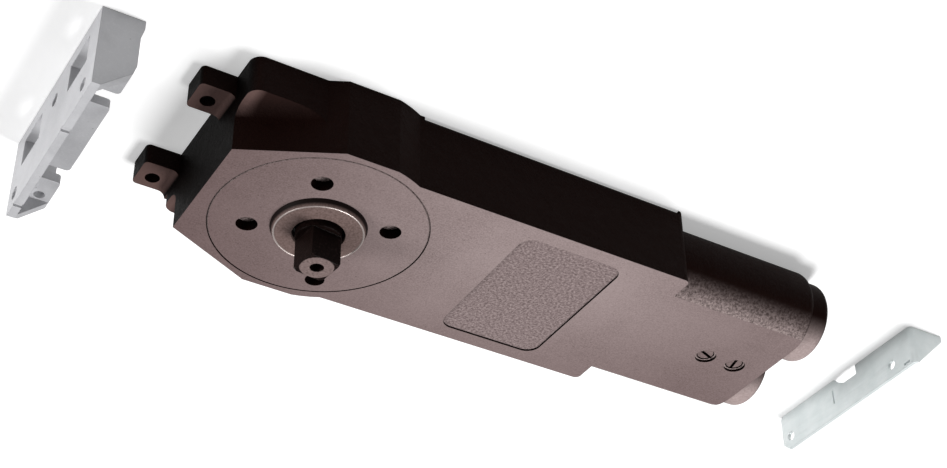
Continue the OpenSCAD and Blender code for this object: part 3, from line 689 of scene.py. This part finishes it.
def at_clip(x, y, z):
    return (clip_x + x * MM, clip_y + y * MM, z * MM)


def clip_block(low, high):
    return block(at_clip(*low), at_clip(*high))


# half the clip's length, its inner half, its height, and the shelf's two faces
HALF, INNER, CLIP_TOP, SHELF_LOW, SHELF_TOP = 45.2, 41.2, 36.3, 22.4, 26.4
WINDOW_AT, WINDOW_HALF, NOTCH_MIDDLE, NOTCH_AT, NOTCH_HALF = 24.8, 9.75, 2.4, 25.45, 4.25

clip = clip_block((0, -HALF, 0), (5.5, HALF, 27.4))
clip.name = "main_clip_casting"
slice_off(clip, at_clip(5.5, 0, SHELF_LOW), (5.0, 0, 2.1))
combine(clip, clip_block((0, -HALF, 26), (3.4, HALF, CLIP_TOP)), "UNION")
for inner, outer in ((-HALF, -INNER), (INNER, HALF)):
    plate = clip_block((0.0, inner, 0), (15.6, outer, CLIP_TOP))
    slice_off(plate, at_clip(14.5, 0, SHELF_TOP), (9.9, 0, 11.1))
    slice_off(plate, at_clip(14.5, 0, SHELF_TOP), (4.0, 0, 1.1))
    foot = clip_block((8, inner, 0), (16.8, outer, 8.8))
    slice_off(foot, at_clip(16.8, 0, 3.8), (5.0, 0, 1.2))
    combine(plate, foot, "UNION")
    combine(clip, plate, "UNION")
combine(clip, clip_block((1, -43, SHELF_LOW), (14.5, 43, SHELF_TOP)), "UNION")
print("the clip is built up from", len(clip.data.polygons), "faces")

# %% Cut the windows, notches and holes
for side in (-1, 1):
    window = side * WINDOW_AT
    combine(clip, clip_block((-1, window - WINDOW_HALF, 5.7), (7, window + WINDOW_HALF, 18.3)))
    middle = NOTCH_MIDDLE + side * NOTCH_AT
    combine(clip, clip_block((6.5, middle - NOTCH_HALF, 18.4), (20, middle + NOTCH_HALF, 30.4)))
along_x = (0, math.radians(90), 0)
for y, z in ((34.5, 29.4), (-0.4, 10.5), (-37.8, 29.4)):
    combine(clip, rod(at_clip(2, y, z), 2.7 * MM, 0.012, along_x))
combine(clip, rod(at_clip(9.6, -38.1, 24.4), 2.2 * MM, 0.008))
for y in (14.2, -36.7):
    combine(clip, clip_block((-1, y, 35.3), (5, y + 2.4, 38)))

# %% Round its corners
front = clip_x + 14.5 * MM
lip_z, end_y = CLIP_TOP * MM, clip_y - HALF * MM


def is_shelf_corner(a, b):
    upright = abs(a.x - b.x) < 1e-5 and abs(a.y - b.y) < 1e-5 and abs(a.z - b.z) > 0.003
    return upright and abs(a.x - front) < 2e-5 and abs(a.y - clip_y) < 0.035


def is_lip_corner(a, b):
    return all(abs(p.z - lip_z) < 2e-5 and abs(p.y - end_y) < 2e-5 for p in (a, b)) and abs(a.x - b.x) > 0.002


print("shelf corners:", round_edges_at(clip, is_shelf_corner, 1.6 * MM))
print("lip corners:", round_edges_at(clip, is_lip_corner, 1.8 * MM))
soften(clip, 0.35 * MM)
stand_for(clip, "main_clip", "main_clip")

# %% [markdown]
# ## The end clip
# The end clip is one strip of sheet, bent at one end. It starts as a plane,
# its end is spun through a right angle and pulled out into the tab, and a
# Solidify modifier gives the sheet its thickness, so the bend is as thick as
# the flat. The slanted tab and the cut-outs come last, as in a press. A block
# with a boolean bend would need more steps and have a less even wall.

# %% Bend the sheet
sheet_low, sheet_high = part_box("end_clip")
x0, y0, y1, top = sheet_low.x, sheet_low.y, sheet_high.y, sheet_high.z
BEND, REACH, SHEET = 2.4 * MM, sheet_high.x - sheet_low.x, 1.6 * MM
bpy.ops.object.select_all(action="DESELECT")
bpy.ops.mesh.primitive_plane_add(size=1, location=(x0, (y0 + y1 - BEND) / 2, top / 2),
                                 rotation=(0, math.radians(90), 0))
bpy.ops.transform.resize(value=(1, y1 - BEND - y0, top))
sheet = settled("end_clip_sheet")
bpy.ops.object.mode_set(mode="EDIT")
bpy.ops.mesh.select_mode(type="EDGE")
bpy.ops.mesh.select_all(action="DESELECT")
bpy.ops.object.mode_set(mode="OBJECT")
for edge in sheet.data.edges:
    edge.select = all(sheet.data.vertices[i].co.y > y1 - BEND - 1e-5 for i in edge.vertices)
bpy.ops.object.mode_set(mode="EDIT")
bpy.ops.mesh.spin(steps=8, angle=math.radians(90), center=(x0 + BEND, y1 - BEND, 0), axis=(0, 0, 1))
bpy.ops.mesh.extrude_region_move(TRANSFORM_OT_translate={"value": (REACH - BEND, 0, 0)})
clean_up()


def box_of(piece):
    corners = [v.co for v in piece.data.vertices]
    return [[round(side(c[i] for c in corners) * 1000, 2) for i in range(3)] for side in (min, max)]


print("bent surface", box_of(sheet))

# %% Thicken it
alone(sheet)
if (sheet.data.polygons[0].normal.x > 0) != (sheet.data.polygons[0].center.y > y1 - BEND):
    bpy.ops.object.mode_set(mode="EDIT")
    bpy.ops.mesh.select_all(action="SELECT")
    bpy.ops.mesh.flip_normals()
    bpy.ops.object.mode_set(mode="OBJECT")
thick = sheet.modifiers.new("thickness", "SOLIDIFY")
thick.thickness = SHEET
thick.offset = -1
thick.use_even_offset = True
bpy.ops.object.modifier_apply(modifier="thickness")
print("the sheet", box_of(sheet))

# %% Press the cut-outs
slice_off(sheet, (x0 + BEND, 0, top), (top - 2.9 * MM, 0, REACH - BEND))
slice_off(sheet, (0, y0 + 3.5 * MM, top), (0, -1, 1))
middle = (y0 + y1) / 2
notch = block((x0 - 0.002, middle - 0.0088, -0.002), (x0 + 0.004, middle + 0.0088, 0.005))
slice_off(notch, (0, middle - 0.0022, 0.005), (0, -2.5, 2.2))
slice_off(notch, (0, middle - 0.0044, 0.0025), (0, -2.5, 4.4))
combine(sheet, notch)
combine(sheet, block((x0 - 0.002, middle - 0.0088, 0.0045), (x0 + 0.004, middle - 0.008, 0.012)))
combine(sheet, block((x0 - 0.002, y1 - BEND - 0.005, top - 0.0024), (x0 + 0.004, y1 - BEND - 0.001, top - 0.0012)))
for side in (-1, 1):
    combine(sheet, rod((x0, middle + side * 0.0365 - 0.0045, 0.013), 0.0022, 0.012, along_x))


def is_foot_corner(a, b):
    return all(abs(p.y - y0) < 1e-5 and abs(p.z) < 1e-5 for p in (a, b))


print("foot corners:", round_edges_at(sheet, is_foot_corner, 2 * MM))
soften(sheet, 0.12 * MM)
stand_for(sheet, "end_clip", "end_clip")

# %% [markdown]
# ## The studio
# The closer lies on a white sheet, and nothing else is in the picture. The
# floor is a plain plane just under it. Seen by the camera it is lifted to
# white by a little emission, while the object's soft shadow still falls on
# it. Light that bounces off it sees a plain pale grey.

# %% Floor
def floor_material():
    material, tree, shader = new_material("white_sheet")
    path = add_node(tree, "ShaderNodeLightPath")
    seen = math_node(tree, "MAXIMUM", path.outputs["Is Camera Ray"], path.outputs["Is Glossy Ray"])
    join(tree, mix_color(tree, seen, (0.35, 0.35, 0.35), (0.80, 0.80, 0.80)), shader.inputs["Base Color"])
    shader.inputs["Roughness"].default_value = 0.9
    shader.inputs["Specular IOR Level"].default_value = 0.0
    shader.inputs["Emission Color"].default_value = (1, 1, 1, 1)
    join(tree, math_node(tree, "MULTIPLY", seen, 0.35), shader.inputs["Emission Strength"])
    return material


bpy.ops.mesh.primitive_plane_add(size=12, location=(0.1, 0, -0.0002))
floor = bpy.context.active_object
floor.name = "floor"
floor.data.materials.append(floor_material())
print("the floor is", floor.dimensions.x, "m wide")

# %% [markdown]
# ## The light
# In the photo the flat faces are pale, the upright walls are almost black,
# and the tubes glint where they turn up: the main light is a large soft one
# behind and above the object, which the face reflects into the lens. A second
# soft box on the clip's side keeps the zinc bright, and a plain pale world
# fills the rest.

# %% Lights and world
def soft_box(name, place_at, look_at, size, power):
    light = bpy.data.lights.new(name, "AREA")
    light.shape = "SQUARE"
    light.size = size
    light.energy = power
    lamp = bpy.data.objects.new(name, light)
    scene.collection.objects.link(lamp)
    lamp.location = place_at
    lamp.rotation_euler = (Vector(look_at) - Vector(place_at)).to_track_quat("-Z", "Y").to_euler()
    return lamp


soft_box("top_box", (0.56, -0.05, 1.22), (0.10, 0, 0.02), 0.45, 14)
soft_box("left_box", (-1.05, -0.10, 0.50), (-0.02, 0, 0.02), 0.5, 9)

world = bpy.data.worlds.new("studio")
scene.world = world
world.use_nodes = True
sky = world.node_tree.nodes["Background"]
sky.inputs["Color"].default_value = (1, 1, 1, 1)
sky.inputs["Strength"].default_value = 0.24

# %% [markdown]
# ## The camera
# The photo shows the closer upside down: the spindle points down the picture.
# Its place, turn and lens were found by fitting the corners of the casing to
# the photo, so the frame here is the photo's frame. The three rows are the
# picture's right, its down, and the way the lens looks.

# %% Camera
PICTURE_WIDTH = 947
FOCAL_PIXELS = 1829.82
right = Vector((0.86066, 0.50904, 0.01212)).normalized()
forward = Vector((0.41435, -0.68634, -0.59771)).normalized()
down = forward.cross(right).normalized()
lens = bpy.data.cameras.new("camera")
lens.sensor_fit = "HORIZONTAL"
lens.sensor_width = 36.0
lens.lens = FOCAL_PIXELS / PICTURE_WIDTH * lens.sensor_width
lens.clip_start = 0.01
lens.clip_end = 20
camera = bpy.data.objects.new("camera", lens)
scene.collection.objects.link(camera)
pose = Matrix((right, -down, -forward)).transposed().to_4x4()
pose.translation = Vector((-0.24211, 0.51728, 0.46294))
camera.matrix_world = pose
scene.camera = camera
scene.view_settings.view_transform = "Standard"
print("lens:", round(lens.lens, 2), "mm")
